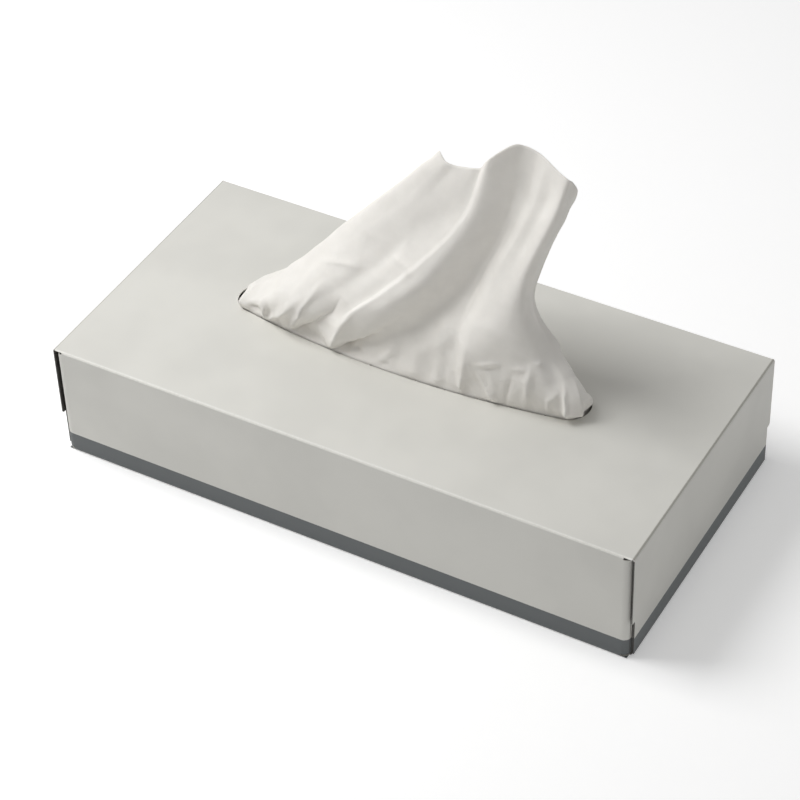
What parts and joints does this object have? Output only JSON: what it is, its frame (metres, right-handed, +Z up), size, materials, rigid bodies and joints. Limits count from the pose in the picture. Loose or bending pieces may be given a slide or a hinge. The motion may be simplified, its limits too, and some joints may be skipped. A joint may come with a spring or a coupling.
{
  "type": "tissue box",
  "caption": "Flat rectangular paperboard carton of facial tissues, with a long slot in its top and one tissue standing raised through the slot.",
  "frame": {"origin": "middle of the carton's underside", "axes": "+X along the carton and its slot, +Y from the front panel to the back panel, +Z up"},
  "size_m": [0.23, 0.114, 0.142],
  "materials": {
    "carton": "uncoated, smooth, light warm grey with a dark grey band at the foot",
    "tissue_pack": "soft matt white tissue paper",
    "raised_tissue": "soft matt white tissue paper, crumpled"
  },
  "bodies": {
    "root": {"carton": "carton", "tissue_pack": "tissue_pack", "raised_tissue": "raised_tissue"}
  },
  "joints": []
}
